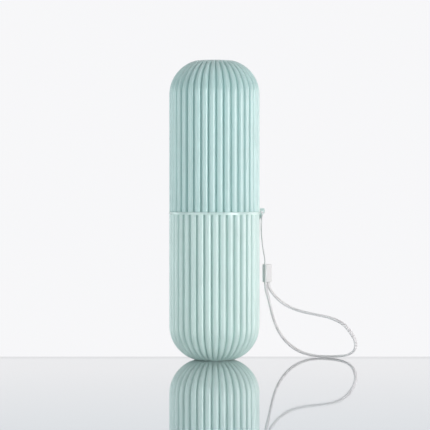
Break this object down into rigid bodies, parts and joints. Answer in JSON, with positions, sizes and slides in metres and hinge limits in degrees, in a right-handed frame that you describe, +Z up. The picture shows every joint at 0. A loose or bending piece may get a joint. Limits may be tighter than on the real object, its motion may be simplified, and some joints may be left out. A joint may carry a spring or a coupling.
{
  "type": "toothbrush travel case",
  "caption": "Upright capsule-shaped travel case for toothbrushes: ribbed cups that push together at mid-height, with a wrist strap hung from a lug on the rim.",
  "frame": {"origin": "centre of the flat foot of the lower cup", "axes": "+Z up the axis of the case, +X through the lug that holds the lanyard"},
  "size_m": [0.1284, 0.0624, 0.205],
  "materials": {
    "cup_plastic": "satin moulded, pale mint",
    "sleeve_plastic": "smooth moulded, pale mint",
    "ring_silicone": "translucent silicone",
    "string_cord": "braided nylon",
    "ferrule_plastic": "satin moulded",
    "strap_webbing": "narrow woven nylon tape"
  },
  "bodies": {
    "base": {"lower_cup": "cup_plastic", "coupling_sleeve": "sleeve_plastic", "string_loop": "string_cord", "ferrule_front": "ferrule_plastic", "ferrule_back": "ferrule_plastic", "wrist_strap": "strap_webbing"},
    "ring": {"grip_ring": "ring_silicone"},
    "lid": {"upper_cup": "cup_plastic"}
  },
  "joints": [
    {"name": "lid_turn", "type": "hinge", "parent": "base", "child": "ring", "pos_m": [0, 0, 0.1016], "axis": [0, 0, 1], "continuous": true},
    {"name": "lid_lift", "type": "slide", "parent": "ring", "child": "lid", "axis": [0, 0, 1], "range_m": [0, 0.06]}
  ]
}
